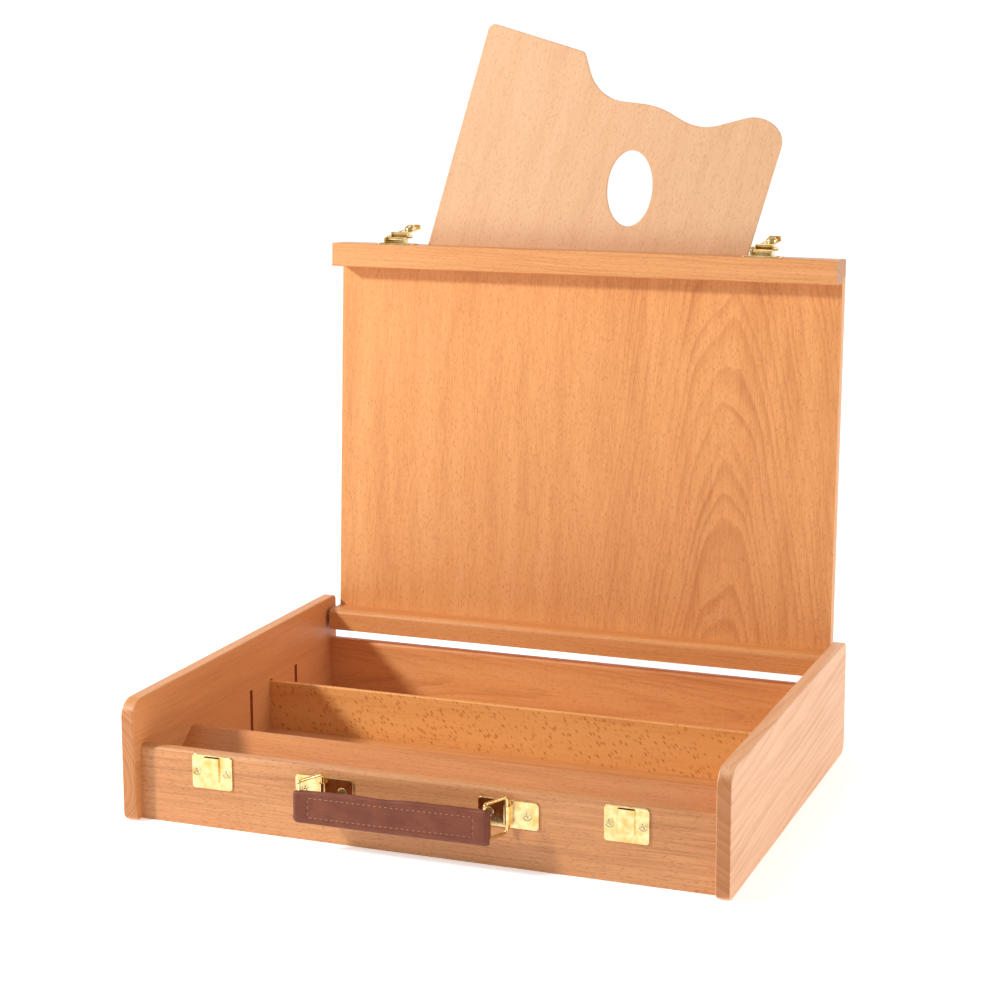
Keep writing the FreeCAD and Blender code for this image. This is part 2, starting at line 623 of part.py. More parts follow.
def catch_hook():
    """Draw loop: knuckle, a frame round the lever's tongue, and a claw turned up at its end."""
    width, sheet_metal = size["hook_width"], size["hook_sheet"]
    length = size["hook_length"]
    plate = Part.makeBox(width, length, sheet_metal,
                         FreeCAD.Vector(-width / 2, 0, -sheet_metal / 2))
    plate = plate.makeFillet(sheet_metal, [
        edge for edge in plate.Edges if near(edge.BoundBox.ZLength, sheet_metal)
        and near(edge.BoundBox.YMin, length)])
    claw = Part.makeBox(width - 2 * sheet_metal, sheet_metal, size["hook_claw"] + sheet_metal / 2,
                        FreeCAD.Vector(sheet_metal - width / 2, length - sheet_metal, 0))
    knuckle, bore = barrel(size["hook_barrel_radius"], width,
                           size["hook_pin_radius"] + size["running_clearance"])
    window = Part.makeBox(size["hook_window_width"], size["hook_window_length"], 4 * sheet_metal,
                          FreeCAD.Vector(-size["hook_window_width"] / 2,
                                         size["hook_window_start"], -2 * sheet_metal))
    shape = plate.fuse(claw).cut(window).fuse(knuckle)
    return shape.cut(bore).removeSplitter()


def pin(radius, reach):
    return rod(radius, 2 * reach, (-reach, 0, 0), (1, 0, 0))


def catch_plate_place(side):
    """Where a catch's plate lies on the head rail, in the lid's own frame."""
    return moved(catch_x(side), -size["pivot_depth"] + size["catch_inset"], lid_head)


def catch_frames(side):
    """The catch's three frames in the model: its plate, its open lever, its folded hook."""
    plate = lid_place.multiply(catch_plate_place(side))
    lever = plate.multiply(turned((1, 0, 0), size["lever_open"], (
        0, size["lever_axis_inset"], size["lever_axis_height"])))
    hook = lever.multiply(turned((1, 0, 0), size["hook_open"], (
        0, size["hook_axis_along"], size["hook_axis_above"])))
    return plate, lever, hook


lever_reach = size["lever_width"] / 2 + size["side_clearance"] + size["ear_thickness"]
hook_reach = size["hook_width"] / 2 + size["hook_clearance"] + size["ear_thickness"]
for side in SIDES:
    plate_frame, lever_frame, hook_frame = catch_frames(side)
    solid_piece(f"catch_base_{side}", catch_base(), plate_frame)
    solid_piece(f"catch_lever_{side}", catch_lever(), lever_frame)
    solid_piece(f"catch_hook_{side}", catch_hook(), hook_frame)
    solid_piece(f"lever_pin_{side}", pin(size["lever_pin_radius"], lever_reach), lever_frame)
    solid_piece(f"hook_pin_{side}", pin(size["hook_pin_radius"], hook_reach), hook_frame)

catch_screw_spots = [catch_plate_place(side).multiply(spot)
                     for side in SIDES for spot in catch_screw_places()]
screws("catch_screws", catch_screw_spots, lid_place)


# ---- strike plates and handle on the front wall ----------------------------------------------

def on_wall(x, z):
    """A frame on the front wall: x across, y up, z out of the wall."""
    return turned((1, 0, 0), 90, (x, wall_front, z))


def wall_screw_places(x, z, spacing):
    return [on_wall(x + sign * spacing / 2, z).multiply(moved(0, 0, size["plate_thickness"]))
            for sign in SIDES.values()]


def local_screw_places(z, spacing):
    return [moved(sign * spacing / 2, z, size["plate_thickness"]) for sign in SIDES.values()]


strike_foot = size["wall_height"] - size["strike_drop"] - size["strike_height"]


def strike_plate():
    """Plate with a raised keeper, open above and below, that the claw pulls on."""
    high = size["strike_height"]
    plate = rounded_plate(size["catch_width"], high, size["plate_corner_radius"])
    top = high - size["keeper_drop"]
    keeper = Part.makeBox(size["keeper_width"], size["keeper_height"], size["keeper_rise"],
                          FreeCAD.Vector(-size["keeper_width"] / 2, top - size["keeper_height"], 0))
    keeper = keeper.makeFillet(size["keeper_sheet"] * 0.9, [
        edge for edge in keeper.Edges if near(edge.BoundBox.YLength, size["keeper_height"])
        and near(edge.BoundBox.ZMin, size["keeper_rise"])])
    inside = size["keeper_width"] - 2 * size["keeper_sheet"]
    past = 0.5
    tunnel = Part.makeBox(inside, size["keeper_height"] + 2 * past,
                          size["keeper_rise"] - size["keeper_sheet"],
                          FreeCAD.Vector(-inside / 2, top - size["keeper_height"] - past, 0))
    shape = plate.fuse(keeper).cut(tunnel).removeSplitter()
    return drill(shape, local_screw_places(high - size["strike_screw_drop"],
                                           size["catch_screw_spacing"]))


def bracket():
    """Plate with an upright knuckle in its middle, which holds the ring's inner bar."""
    high = size["bracket_height"]
    plate = rounded_plate(size["bracket_width"], high, size["plate_corner_radius"])
    foot = (high - size["knuckle_height"]) / 2
    stand = size["knuckle_stand"]
    knuckle = rod(size["knuckle_radius"], size["knuckle_height"], (0, foot, stand), (0, 1, 0))
    neck = Part.makeBox(2 * size["knuckle_radius"], size["knuckle_height"], stand,
                        FreeCAD.Vector(-size["knuckle_radius"], foot, 0))
    bore = rod(size["ring_wire_radius"] + size["running_clearance"], high, (0, 0, stand), (0, 1, 0))
    shape = plate.fuse(knuckle.fuse(neck)).cut(bore).removeSplitter()
    return drill(shape, local_screw_places(high / 2, size["bracket_screw_spacing"]))


def ring():
    """Rectangle of wire: its inner bar on the z axis, its outer bar at `ring_reach` along -y."""
    half = size["ring_height"] / 2 - size["ring_wire_radius"]
    reach, radius = size["ring_reach"], size["ring_corner_radius"]
    flat = rounded_outline([(0, -half, radius), (reach, -half, radius), (reach, half, radius),
                            (0, half, radius)])
    section = Part.Wire(Part.makeCircle(size["ring_wire_radius"], FreeCAD.Vector(reach / 2, -half, 0),
                                        FreeCAD.Vector(1, 0, 0)))
    hoop = Part.Wire(flat).makePipeShell([section], True, True)
    hoop = hoop if hoop.ShapeType == "Solid" else Part.makeSolid(hoop)
    hoop.rotate(FreeCAD.Vector(0, 0, 0), FreeCAD.Vector(1, 0, 0), 90)
    hoop.rotate(FreeCAD.Vector(0, 0, 0), FreeCAD.Vector(0, 0, 1), -90)
    return hoop


def strap():
    """Leather grip between two round eyes, hanging a little askew on the rings' upright bars.

    Its origin is the left bar's middle. Behind each bar a slot lets the ring's lower wire turn.
    """
    length, high = size["handle_spacing"], size["strap_height"]
    half, eye = size["strap_thickness"] / 2, size["strap_end_radius"]
    shape = Part.makeBox(length, 2 * half, high, FreeCAD.Vector(0, -half, -high / 2))
    for x in (0, length):
        shape = shape.fuse(rod(eye, high, (x, 0, -high / 2), (0, 0, 1)))
    shape = shape.removeSplitter()
    shape.rotate(FreeCAD.Vector(length / 2, 0, 0), FreeCAD.Vector(0, -1, 0), size["strap_lean"])
    shape.translate(FreeCAD.Vector(0, 0, -size["strap_drop"]))
    wire = size["ring_wire_radius"]
    slot_half = wire + size["slot_clearance"]
    slot_high = slot_half + size["ring_corner_radius"]
    low_wire = wire - size["ring_height"] / 2
    reach = size["strap_slot_reach"]
    for x in (0, length):
        bore = rod(wire + 3 * size["running_clearance"], 2 * high, (x, 0, -high), (0, 0, 1))
        slot = rod(reach, slot_high, (x, 0, low_wire - slot_half), (0, 0, 1))
        behind = Part.makeBox(2 * reach, reach + slot_half, slot_high,
                              FreeCAD.Vector(x - reach, -slot_half, low_wire - slot_half))
        shape = shape.cut(bore).cut(slot.common(behind))
    return shape


def handle_x(side):
    return size["handle_shift"] + SIDES[side] * size["handle_spacing"] / 2


wall_screws = []
for side in SIDES:
    solid_piece(f"strike_plate_{side}", strike_plate(), on_wall(catch_x(side), strike_foot))
    wall_screws += wall_screw_places(catch_x(side), strike_foot + size["strike_height"]
                                     - size["strike_screw_drop"], size["catch_screw_spacing"])

bracket_screws = []
ring_y = wall_front - size["knuckle_stand"]
for side in SIDES:
    solid_piece(f"handle_bracket_{side}", bracket(),
                on_wall(handle_x(side), size["handle_height"] - size["bracket_height"] / 2))
    bracket_screws += wall_screw_places(handle_x(side), size["handle_height"],
                                        size["bracket_screw_spacing"])
    solid_piece(f"handle_ring_{side}", ring(),
                turned((0, 0, 1), -size["ring_turn"], (handle_x(side), ring_y,
                                                       size["handle_height"])))

swing = math.radians(size["ring_turn"])
solid_piece("handle_strap", strap(), moved(
    handle_x("left") - size["ring_reach"] * math.sin(swing),
    ring_y - size["ring_reach"] * math.cos(swing), size["handle_height"]))

screws("strike_screws", wall_screws)
screws("bracket_screws", bracket_screws)


# ---- pilot holes in the wood, drilled last ---------------------------------------------------

def drilled(wood, placements, place):
    """Replaces a board by the same board with pilot holes, as a feature of its own."""
    tool = document.addObject("Part::Feature", wood.Label + "_pilots")
    holes = []
    for placement in placements:
        hole = rod(size["screw_radius"], size["screw_length"], (0, 0, -size["screw_length"]),
                   (0, 0, 1))
        hole.Placement = placement
        holes.append(hole)
    tool.Shape = Part.makeCompound(holes)
    tool.Placement = place
    made = document.addObject("Part::Cut", wood.Label + "_drilled")
    made.Base = wood
    made.Tool = tool
    label = wood.Label
    wood.Label = label + "_blank"
    made.Label = label
    pieces[pieces.index(wood)] = made
    document.recompute()


drilled(head_rail, catch_screw_spots, lid_place)
drilled(front_wall, wall_screws + bracket_screws, FreeCAD.Placement())


# ---- checks and files ------------------------------------------------------------------------

document.recompute()
for item in document.Objects:
    if "Invalid" in item.State or "Error" in item.State:
        raise RuntimeError(f"{item.Label} failed: {item.State}")
for piece in pieces:
    if piece.Shape.isNull() or not piece.Shape.isValid():
        raise RuntimeError(f"{piece.Label} has no valid shape")

os.makedirs("parts", exist_ok=True)
for piece in pieces:
    piece.Shape.exportStep(f"parts/{piece.Label}.step")
    box = piece.Shape.BoundBox
    print(f"{piece.Label}: {len(piece.Shape.Solids)} solid(s), {piece.Shape.Volume:.0f} mm3, "
          f"x {box.XMin:.1f}..{box.XMax:.1f} y {box.YMin:.1f}..{box.YMax:.1f} "
          f"z {box.ZMin:.1f}..{box.ZMax:.1f}")
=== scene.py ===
import math

import bmesh
import bpy
import numpy as np
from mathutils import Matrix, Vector


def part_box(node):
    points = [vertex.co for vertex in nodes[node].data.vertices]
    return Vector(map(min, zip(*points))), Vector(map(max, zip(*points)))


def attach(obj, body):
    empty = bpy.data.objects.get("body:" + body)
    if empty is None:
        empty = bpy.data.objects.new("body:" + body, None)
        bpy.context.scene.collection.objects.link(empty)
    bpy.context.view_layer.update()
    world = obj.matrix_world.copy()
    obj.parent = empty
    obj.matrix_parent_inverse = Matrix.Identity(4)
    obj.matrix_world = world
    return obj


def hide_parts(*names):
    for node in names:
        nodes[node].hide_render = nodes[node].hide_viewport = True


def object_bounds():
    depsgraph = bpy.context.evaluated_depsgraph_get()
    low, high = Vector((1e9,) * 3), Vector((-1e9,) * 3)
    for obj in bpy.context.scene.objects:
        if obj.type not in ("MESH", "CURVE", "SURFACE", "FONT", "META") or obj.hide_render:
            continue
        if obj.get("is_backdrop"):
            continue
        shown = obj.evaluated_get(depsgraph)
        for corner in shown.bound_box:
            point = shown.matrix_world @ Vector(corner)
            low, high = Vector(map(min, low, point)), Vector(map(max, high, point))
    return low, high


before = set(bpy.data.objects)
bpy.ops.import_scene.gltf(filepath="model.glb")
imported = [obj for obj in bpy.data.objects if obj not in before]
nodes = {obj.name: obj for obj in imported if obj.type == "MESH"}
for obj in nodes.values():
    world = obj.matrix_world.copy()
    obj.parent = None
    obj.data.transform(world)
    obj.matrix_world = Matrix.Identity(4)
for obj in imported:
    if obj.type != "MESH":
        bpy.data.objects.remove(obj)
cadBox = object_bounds()
print("frame loaded:", len(nodes), "nodes")

# Table sketch-box easel: waxed beech case and lid, plywood palette, brass fittings, and a leather
# handle. Metres here, as in the frame. The materials' patterns are worked out in millimetres.


def linear(hexColour):   # sRGB hex to linear RGBA
    channels = [int(hexColour[k:k + 2], 16) / 255 for k in (1, 3, 5)]
    return [c / 12.92 if c <= 0.04045 else ((c + 0.055) / 1.055) ** 2.4 for c in channels] + [1]


def add(tree, kind, inputs=None, stops=None, **settings):
    # one node: settings are its attributes, inputs are values or sockets to link, stops fill a
    # ramp; MapRange takes the range from 1 to 2 into the range from 3 to 4
    made = tree.nodes.new("ShaderNode" + kind)
    for key, value in settings.items():
        setattr(made, key, value)
    for key, value in (inputs or {}).items():
        if isinstance(value, bpy.types.NodeSocket):
            tree.links.new(value, made.inputs[key])
        else:
            made.inputs[key].default_value = value
    if stops:
        ramp = made.color_ramp
        while len(ramp.elements) < len(stops):
            ramp.elements.new(1)
        for element, (place, colour) in zip(ramp.elements, stops):
            element.position = place
            element.color = linear(colour) if isinstance(colour, str) else (colour,) * 3 + (1,)
    return made


def newMaterial(name):
    material = bpy.data.materials.new(name)
    material.use_nodes = True
    material.node_tree.nodes.clear()
    return material, material.node_tree


def finishShader(tree, inputs):
    shader = add(tree, "BsdfPrincipled", inputs)
    add(tree, "OutputMaterial", {"Surface": shader.outputs[0]})


def dress(names, material):   # gives CAD nodes their finish
    for name in names:
        nodes[name].data.materials.clear()
        nodes[name].data.materials.append(material)


def gridMesh(name, points, loopV=False):
    # quads over a grid of points (rows, columns, 3); loopV joins the last column to the first
    rows, columns = points.shape[:2]
    i = np.arange(rows - 1)[:, None]
    j = np.arange(columns if loopV else columns - 1)[None, :]
    corner = lambda a, b: (i + a) * columns + (j + b) % columns
    faces = np.stack([corner(0, 0), corner(1, 0), corner(1, 1), corner(0, 1)], -1).reshape(-1, 4)
    mesh = bpy.data.meshes.new(name)
    mesh.from_pydata(points.reshape(-1, 3).tolist(), [], faces.tolist())
    mesh.update()
    return mesh


# Steamed beech, planed, sanded and waxed: even pinkish tan, faint growth rings, short dark ray
# flecks along the grain on a flat-sawn face, fine dark lines on end grain, a soft satin sheen.
grainAlong = {   # turns the object's axes so that the grain runs along z
    "x": ((0, -math.pi / 2, 0), (1, 0, 0)),
    "y": ((math.pi / 2, 0, 0), (0, 1, 0)),
    "z": ((0, 0, 0), (0, 0, 1)),
}

beechDefaults = {
    "grain": "x", "turn": (0, 0, 0),   # grain direction, and a small further turn in degrees
    "pith": (0, 60),                   # where the tree's middle is, mm, across the grain
    "ring": 3.2, "taper": 0.035,       # growth ring, mm, and how the trunk narrows along the grain
    "warp": 5,                         # how far the rings wander, mm
    "crown": (60, 150),                # from this far to this far from the pith the rings fade, mm
    "light": "#EDB384", "mid": "#DFA06C", "dark": "#C0804E",
    "rings": 0.2, "fibre": 0.13, "streaks": 0.28,   # how strongly each shows
    "flecks": 0.6, "fleckSize": (0.9, 4.2), "fleckTurn": 0,   # mm across and along, degrees
    "endLight": "#C98C5A", "endDark": "#AA6A3C",
    "roughness": 0.42, "seed": 0,   # the seed says which board of the tree it is
}
metre = 1000   # mm
boardSpacing = 37.0   # mm along the tree between one board's pattern and the next


def beech(name, **changes):
    b = beechDefaults | changes
    material, tree = newMaterial(name)
    place = add(tree, "TexCoord")
    turnTo, grain = grainAlong[b["grain"]]
    spin = [math.radians(a) for a in b["turn"]]
    slight = add(tree, "Mapping", {"Vector": place.outputs["Object"], "Rotation": spin})
    mm = add(tree, "Mapping", {"Vector": slight.outputs[0], "Rotation": turnTo,
                               "Scale": (metre,) * 3})
    moved = add(tree, "VectorMath", {0: mm.outputs[0],
                                     1: (*b["pith"], boardSpacing * b["seed"])},
                operation="ADD")
    # growth rings: distance from the pith, less a taper, wandering with a slow noise drawn out
    # along the grain (50 mm across, 220 mm along); each ring darkens slowly and ends at once, its
    # width is uneven, and the rings come and go in patches 33 mm across and 125 mm long
    slow = add(tree, "Mapping", {"Vector": moved.outputs[0], "Scale": (0.02, 0.02, 0.0045)})
    wander = add(tree, "TexNoise", {"Vector": slow.outputs[0], "Scale": 1.0, "Detail": 2.0})
    drift = add(tree, "VectorMath", {0: wander.outputs["Color"], 1: (0.5, 0.5, 0.5)},
                operation="SUBTRACT")
    drifted = add(tree, "VectorMath", {0: drift.outputs[0], 1: (2.4 * b["warp"],) * 3,
                                       2: moved.outputs[0]}, operation="MULTIPLY_ADD")
    parts = add(tree, "SeparateXYZ", {0: drifted.outputs[0]})
    flat = add(tree, "CombineXYZ", {0: parts.outputs[0], 1: parts.outputs[1]})
    radius = add(tree, "VectorMath", {0: flat.outputs[0]}, operation="LENGTH")
    tapered = add(tree, "Math", {0: parts.outputs[2], 1: b["taper"], 2: radius.outputs["Value"]},
                  operation="MULTIPLY_ADD")
    count = add(tree, "Math", {0: tapered.outputs[0], 1: 1 / b["ring"]}, operation="MULTIPLY")
    uneven = add(tree, "TexNoise", {"W": count.outputs[0], "Scale": 0.45, "Detail": 1.0},
                 noise_dimensions="1D")
    counted = add(tree, "Math", {0: uneven.outputs[0], 1: 2.4, 2: count.outputs[0]},
                  operation="MULTIPLY_ADD")
    within = add(tree, "Math", {0: counted.outputs[0]}, operation="FRACT")
    ring = add(tree, "ValToRGB", {0: within.outputs[0]},
               stops=((0, 0.0), (0.45, 0.12), (0.86, 0.95), (0.95, 0.6), (1.0, 0.0)))
    patch = add(tree, "Mapping", {"Vector": moved.outputs[0], "Scale": (0.03, 0.03, 0.008)})
    patchy = add(tree, "TexNoise", {"Vector": patch.outputs[0], "Scale": 1.0, "Detail": 1.0})
    ringPower = add(tree, "MapRange", {0: patchy.outputs[0], 1: 0.3, 2: 0.7,
                                       3: 0.35 * b["rings"], 4: 1.25 * b["rings"]})
    crown = add(tree, "MapRange", {0: radius.outputs["Value"], 1: b["crown"][0],
                                   2: b["crown"][1], 3: 1.0, 4: 0.25})
    fading = add(tree, "Math", {0: ringPower.outputs[0], 1: crown.outputs[0]},
                 operation="MULTIPLY")
    ringMark = add(tree, "Math", {0: ring.outputs[0], 1: fading.outputs[0]},
                   operation="MULTIPLY")
    # fibre: threads about 1 mm across and 45 mm long; the real ones are too fine to show
    thread = add(tree, "Mapping", {"Vector": moved.outputs[0], "Scale": (0.9, 0.9, 0.022)})
    fibre = add(tree, "TexNoise", {"Vector": thread.outputs[0], "Scale": 1.0, "Detail": 3.0,
                                   "Roughness": 0.6})
    # colour streaks: 14 mm across, 200 mm long
    band = add(tree, "Mapping", {"Vector": moved.outputs[0], "Scale": (0.07, 0.07, 0.005)})
    streak = add(tree, "TexNoise", {"Vector": band.outputs[0], "Scale": 1.0, "Detail": 3.0,
                                    "Roughness": 0.55})
    streakMark = add(tree, "MapRange", {0: streak.outputs[0], 1: 0.3, 2: 0.72,
                                        3: 0.5 - 0.5 * b["streaks"], 4: 0.5 + 0.5 * b["streaks"]})
    fibreMark = add(tree, "MapRange", {0: fibre.outputs[0], 1: 0.25, 2: 0.75,
                                       3: -b["fibre"], 4: b["fibre"]})
    shade = add(tree, "Math", {0: streakMark.outputs[0], 1: fibreMark.outputs[0]},
                operation="ADD")
    depth = add(tree, "Math", {0: shade.outputs[0], 1: ringMark.outputs[0]}, operation="ADD")
    colour = add(tree, "ValToRGB", {0: depth.outputs[0]},
                 stops=((0, b["light"]), (0.5, b["mid"]), (1, b["dark"])))
    # ray flecks: spindles along the grain, about 0.3 by 3 mm on real beech, drawn coarser to show
    across, along = b["fleckSize"]
    slanted = add(tree, "Mapping", {"Vector": moved.outputs[0],
                                    "Rotation": (0, math.radians(b["fleckTurn"]), 0)})
    spindle = add(tree, "Mapping", {"Vector": slanted.outputs[0],
                                    "Scale": (1 / across, 1 / across, 1 / along)})
    cell = add(tree, "TexVoronoi", {"Vector": spindle.outputs[0], "Scale": 1.0,
                                    "Randomness": 1.0})
    near = add(tree, "MapRange", {0: cell.outputs["Distance"], 1: 0.22, 2: 0.44, 3: 1.0, 4: 0.0})
    chance = add(tree, "SeparateColor", {0: cell.outputs["Color"]})
    chosen = add(tree, "MapRange", {0: chance.outputs[0], 1: 0.2, 2: 0.85, 3: 0.0,
                                    4: b["flecks"]})
    fleck = add(tree, "Math", {0: near.outputs[0], 1: chosen.outputs[0]}, operation="MULTIPLY")
    flecked = add(tree, "Mix", {"Factor": fleck.outputs[0], 6: colour.outputs[0],
                                7: linear(b["dark"])}, data_type="RGBA")
    # end grain soaks up wax and goes darker, with its rings drawn harder
    facing = add(tree, "VectorMath", {0: place.outputs["Normal"], 1: grain},
                 operation="DOT_PRODUCT")
    square = add(tree, "Math", {0: facing.outputs["Value"]}, operation="ABSOLUTE")
    endMask = add(tree, "MapRange", {0: square.outputs[0], 1: 0.62, 2: 0.92, 3: 0.0, 4: 1.0})
    lines = add(tree, "Math", {0: within.outputs[0], 1: 0.8, 2: 0.1}, operation="MULTIPLY_ADD")
    endColour = add(tree, "Mix", {"Factor": lines.outputs[0], 6: linear(b["endLight"]),
                                  7: linear(b["endDark"])}, data_type="RGBA")
    whole = add(tree, "Mix", {"Factor": endMask.outputs[0], 6: flecked.outputs[2],
                              7: endColour.outputs[2]}, data_type="RGBA")
    gloss = add(tree, "MapRange", {0: fibre.outputs[0], 1: 0.25, 2: 0.75,
                                   3: b["roughness"] - 0.05, 4: b["roughness"] + 0.09})
    relief = add(tree, "Math", {0: fleck.outputs[0], 1: -0.7, 2: fibre.outputs[0]},
                 operation="MULTIPLY_ADD")
    bump = add(tree, "Bump", {"Height": relief.outputs[0], "Strength": 0.22, "Distance": 0.0002})
    finishShader(tree, {"Base Color": whole.outputs[2], "Roughness": gloss.outputs[0],
                        "Normal": bump.outputs[0], "IOR": 1.45, "Coat Weight": 0.04,
                        "Coat Roughness": 0.3})
    return material


def dressWood():
    dress(["left_side"], beech("beech side board left, flat-sawn, waxed", grain="y",
                               pith=(250, 30), seed=1, light="#E6A66E", mid="#DA955C",
                               dark="#B87240", endLight="#C98752", rings=0.08))
    dress(["right_side"], beech("beech side board right, flat-sawn, waxed", grain="y",
                                pith=(-262, 120), seed=2, light="#EFC39C", mid="#E6AF84",
                                dark="#CC8B5C", endLight="#BC7C4A", ring=7, taper=0.06,
                                rings=0.3, crown=(300, 400)))
    dress(["front_wall"], beech("beech front wall, rift-sawn, waxed", pith=(90, 60), seed=3,
                                light="#DFA56E", mid="#CD8D5A", dark="#A26536",
                                taper=0.02, flecks=0.7, streaks=0.35, fibre=0.2))
    dress(["back_wall"], beech("beech back wall, flat-sawn, waxed", pith=(25, -330), seed=4,
                               light="#F2B67E", mid="#E8A566", dark="#C68048", taper=0.05))
    dress(["sloping_divider"], beech("beech sloping divider, waxed", pith=(70, 40), seed=5,
                                     light="#E09A5E", mid="#D2874B", dark="#AC6430"))
    dress(["middle_divider"], beech("beech middle divider, quarter-sawn, waxed", pith=(-30, 600),
                                    seed=6, light="#F6BC78", mid="#EFAC64", dark="#BE7030",
                                    flecks=0.85, fleckSize=(2.0, 5.0), fleckTurn=-50, rings=0.1,
                                    streaks=0.25))
    dress(["lid_foot_rail"], beech("beech foot rail, flat-sawn, waxed", pith=(-60, -330),
                                   seed=7, light="#E8A870", mid="#DD9657", dark="#BA7038"))
    dress(["lid_head_rail"], beech("beech head rail, flat-sawn, waxed", pith=(350, -310), seed=8,
                                   light="#EAAE78", mid="#DC985C", dark="#BC743C"))
    dress(["lid_panel"], beech("beech veneer panel, crown-cut, waxed", grain="z",
                               pith=(-120, -290), ring=5.6, taper=0.12, warp=8, seed=9,
                               crown=(60, 130), light="#EFB278", mid="#E39C5C", dark="#BE7238",
                               rings=0.24, flecks=0.75, fleckSize=(0.8, 4.2), streaks=0.24))
    dress(["lid_back_board"], beech("beech veneer back board, crown-cut, waxed", grain="z",
                                    pith=(60, -300), ring=4.4, taper=0.1, seed=10))
    dress(["pocket_strip_left", "pocket_strip_right"],
          beech("beech pocket strip, waxed", grain="z", pith=(40, 90), seed=11))
    dress(["base_panel"], beech("beech veneer base panel, waxed", pith=(0, -150), seed=12,
                                mid="#DA985C", dark="#BA743E"))
    dress(["palette"], beech("beech palette plywood, thinly varnished", grain="z",
                             turn=(0, -16, 0), pith=(900, 120), ring=4.0, seed=13,
                             light="#E6BC94", mid="#DCAC82", dark="#C08C62", rings=0.1,
                             flecks=0.8, fleckSize=(0.8, 3.8), streaks=0.2, roughness=0.36))
    dress(["wall_dowels"], beech("beech dowel, turned", pith=(20, 20), seed=14))
    print("wood dressed")


# Brass sheet and wire, pressed, polished and lacquered: pale warm yellow with sharp reflections,
# softened by hairlines from the polishing wheel.
def brass(name, hairline=(0.25, 8.0), colour="#F5DDA6", dull="#DDB66C", roughness=0.15):
    material, tree = newMaterial(name)
    place = add(tree, "TexCoord")
    across, along = hairline   # mm
    mm = add(tree, "Mapping", {"Vector": place.outputs["Object"],
                               "Scale": (metre / along, metre / across, metre / across)})
    hair = add(tree, "TexNoise", {"Vector": mm.outputs[0], "Scale": 1.0, "Detail": 3.0})
    cloud = add(tree, "TexNoise", {"Vector": place.outputs["Object"], "Scale": metre / 6.25,
                                   "Detail": 2.0})   # dull patches 6 mm across
    tone = add(tree, "ValToRGB", {0: cloud.outputs[0]}, stops=((0.35, colour), (0.7, dull)))
    gloss = add(tree, "MapRange", {0: hair.outputs[0], 1: 0.3, 2: 0.7, 3: roughness - 0.04,
                                   4: roughness + 0.1})
    bump = add(tree, "Bump", {"Height": hair.outputs[0], "Strength": 0.05, "Distance": 0.00005})
    finishShader(tree, {"Base Color": tone.outputs[0], "Roughness": gloss.outputs[0],
                        "Normal": bump.outputs[0], "Metallic": 1.0})
    return material


def dressMetal():
    plate = brass("brass sheet, pressed and lacquered")
    wire = brass("brass wire, drawn and lacquered", hairline=(0.3, 0.3), roughness=0.14)
    screw = brass("brass-plated steel screw", colour="#E6D6A6", dull="#C4AE78", roughness=0.25)
    steel = brass("steel pin, drawn bright", colour="#D8D4CC", dull="#B4AFA6", roughness=0.25)
    for side in ("left", "right"):
        dress([f"catch_base_{side}", f"catch_lever_{side}", f"catch_hook_{side}",
               f"strike_plate_{side}", f"handle_bracket_{side}"], plate)
        dress([f"handle_ring_{side}"], wire)
        dress([f"lever_pin_{side}", f"hook_pin_{side}"], steel)
    dress(["lid_pivot_pins"], steel)
    dress(["catch_screws", "strike_screws", "bracket_screws"], screw)
    print("metal dressed")


strapLow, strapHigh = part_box("handle_strap")
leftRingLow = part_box("handle_ring_left")[0]
wireRadius = 0.00115             # of the rings' wire
strap = {
    "low": np.array(strapLow), "high": np.array(strapHigh),
    "heights": (0.0232, 0.0252),   # left and right: cut by hand, not quite parallel
    "lean": math.radians(0.7),   # its left end hangs lower
    "middleThickness": 0.0056,   # two layers of hide over a thin core
    "endThickness": 0.0076,      # where the hide folds round the wire
    "endRadius": 0.0036,         # rounded corners seen from the front
    "ease": 0.016,               # how far from the end the hide thins to the middle's thickness
    "bow": 0.0010,               # how far the middle stands out
    "wave": 0.0005,              # how unevenly the top edge was cut and worn
    "seamInset": 0.0048, "seamEnd": 0.0115, "seamDepth": 0.0004, "seamWidth": 0.0007,
    "stitch": 0.0030, "stitchGap": 0.0009, "threadRadius": 0.00028,
    "wireHeight": leftRingLow[2] + wireRadius,   # the rings' lower wires turn in slots
    "slotHalfHeight": 0.0019, "slotLength": 0.0142, "slotClearance": 0.0003,
    "slotFade": (0.00022, 0.0004),   # how softly the slot starts, up and along
}
endGap = 0.0001   # the strap stops this far inside its box
strapEnds = strap["low"][0] + endGap, strap["high"][0] - endGap
strapCentre = (strap["low"][2] + strap["high"][2]) / 2


def strapMiddle(x):
    # the middle line bows out towards the front as a half sine from end to end
    s = (x - strapEnds[0]) / (strapEnds[1] - strapEnds[0])
    return (strap["low"][1] + strap["high"][1]) / 2 - strap["bow"] * np.sin(math.pi * s)


def strapRise(x):   # how high the leaning strap's own middle stands at x
    return strapCentre + math.tan(strap["lean"]) * (x - (strapEnds[0] + strapEnds[1]) / 2)


def strapHalfHeight(x):   # grows evenly from the left end to the right end
    s = (x - strapEnds[0]) / (strapEnds[1] - strapEnds[0])
    return (strap["heights"][0] + s * (strap["heights"][1] - strap["heights"][0])) / 2


def strapHalfThickness(x):
    # thick at both ends where the hide wraps the wire, easing to the middle as 3n^2 - 2n^3;
    # the tips close as a quarter of an ellipse
    fromEnd = np.minimum(x - strapEnds[0], strapEnds[1] - x)
    near = np.clip(fromEnd / strap["ease"], 0, 1)
    blend = near * near * (3 - 2 * near)
    half = strap["endThickness"] / 2 * (1 - blend) + strap["middleThickness"] / 2 * blend
    tip = np.clip(fromEnd / (strap["endThickness"] / 2), 0, 1)
    return half * np.sqrt(np.clip(1 - (1 - tip) ** 2, 0.0004, 1))   # at least a fiftieth


